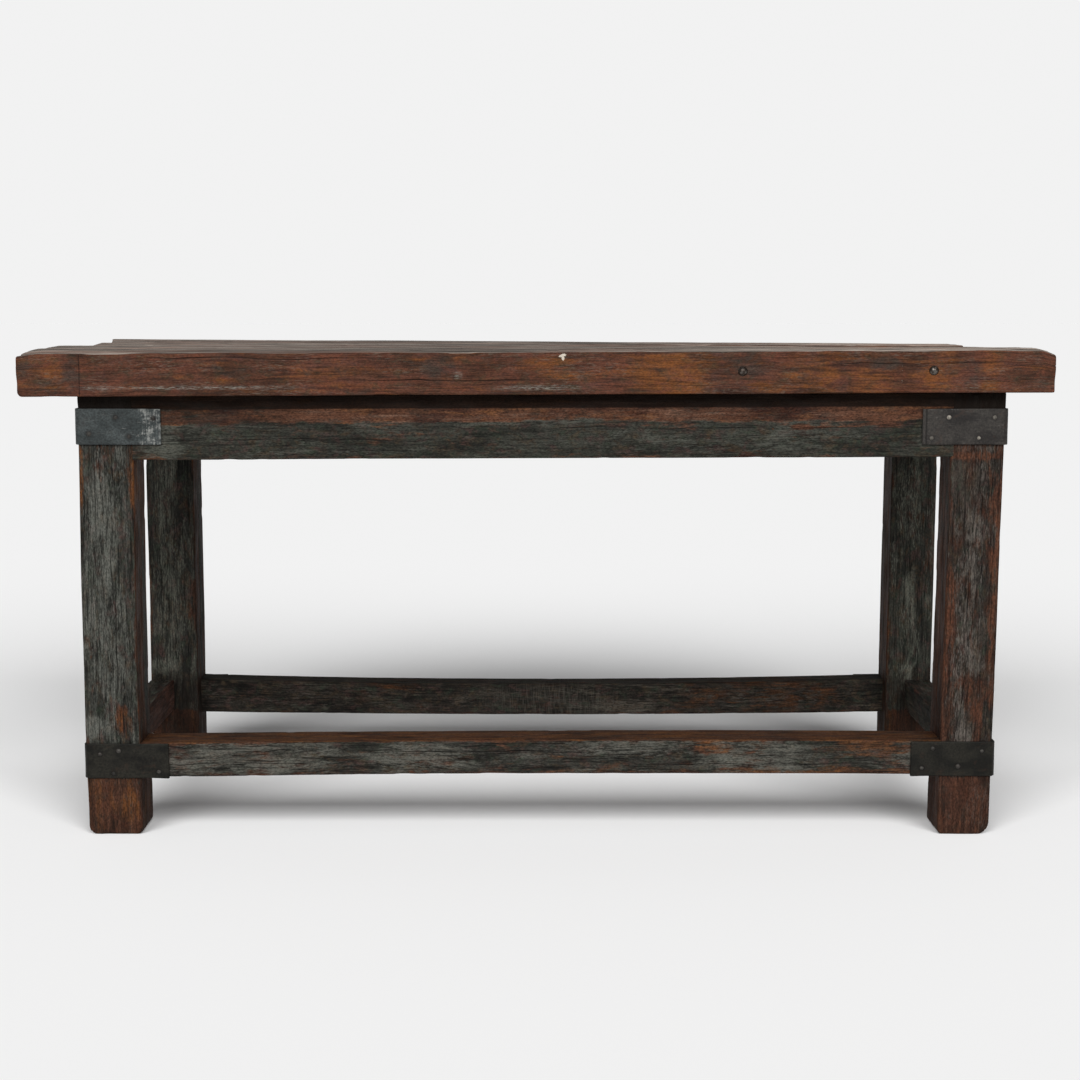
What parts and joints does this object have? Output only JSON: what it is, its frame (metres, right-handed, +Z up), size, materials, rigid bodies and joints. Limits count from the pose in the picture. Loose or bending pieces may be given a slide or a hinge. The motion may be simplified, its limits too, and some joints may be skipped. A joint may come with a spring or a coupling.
{
  "type": "communion table",
  "caption": "Heavy rustic timber table with a thick plank top on square legs, joined by aprons and low stretchers, with nailed iron straps round its corners.",
  "frame": {"origin": "on the floor, under the middle of the top", "axes": "+X along the table to the right as seen from its front, +Y from its front to its back, +Z up"},
  "size_m": [1.8, 0.7445, 0.865],
  "materials": {
    "weathered_top": "old reddish brown hardwood, greyed and worn on its upper face, matt",
    "painted_timber": "dark green-grey paint over reddish brown hardwood, rubbed through at the edges, matt",
    "bare_timber": "unpainted sawn hardwood, matt",
    "black_iron": "blackened wrought iron strap, rubbed and slightly rusty, satin",
    "nail_iron": "forged iron nails with worn heads, satin",
    "bolt_steel": "dark aged steel with rubbed bright domes"
  },
  "bodies": {
    "root": {"top_board_front": "weathered_top", "top_board_middle": "weathered_top", "top_board_back": "weathered_top", "leg_front_left": "painted_timber", "leg_front_right": "painted_timber", "leg_back_left": "painted_timber", "leg_back_right": "painted_timber", "apron_front": "painted_timber", "apron_back": "painted_timber", "apron_left": "painted_timber", "apron_right": "painted_timber", "stretcher_front": "painted_timber", "stretcher_back": "painted_timber", "stretcher_left": "painted_timber", "stretcher_right": "painted_timber", "bearer_left": "bare_timber", "bearer_centre": "bare_timber", "bearer_right": "bare_timber", "strap_upper_front_left": "black_iron", "strap_upper_front_right": "black_iron", "strap_upper_back_left": "black_iron", "strap_upper_back_right": "black_iron", "strap_lower_front_left": "black_iron", "strap_lower_front_right": "black_iron", "strap_lower_back_left": "black_iron", "strap_lower_back_right": "black_iron", "nails_upper_front_left": "nail_iron", "nails_upper_front_right": "nail_iron", "nails_upper_back_left": "nail_iron", "nails_upper_back_right": "nail_iron", "nails_lower_front_left": "nail_iron", "nails_lower_front_right": "nail_iron", "nails_lower_back_left": "nail_iron", "nails_lower_back_right": "nail_iron", "pegs_front_left": "bare_timber", "pegs_front_right": "bare_timber", "pegs_back_left": "bare_timber", "pegs_back_right": "bare_timber", "lag_screws_left": "bolt_steel", "lag_screws_centre": "bolt_steel", "lag_screws_right": "bolt_steel", "tie_bolt_left": "bolt_steel", "tie_bolt_right": "bolt_steel", "tie_washer_left": "bolt_steel", "tie_washer_right": "bolt_steel", "tie_nut_left": "bolt_steel", "tie_nut_right": "bolt_steel"}
  },
  "joints": []
}
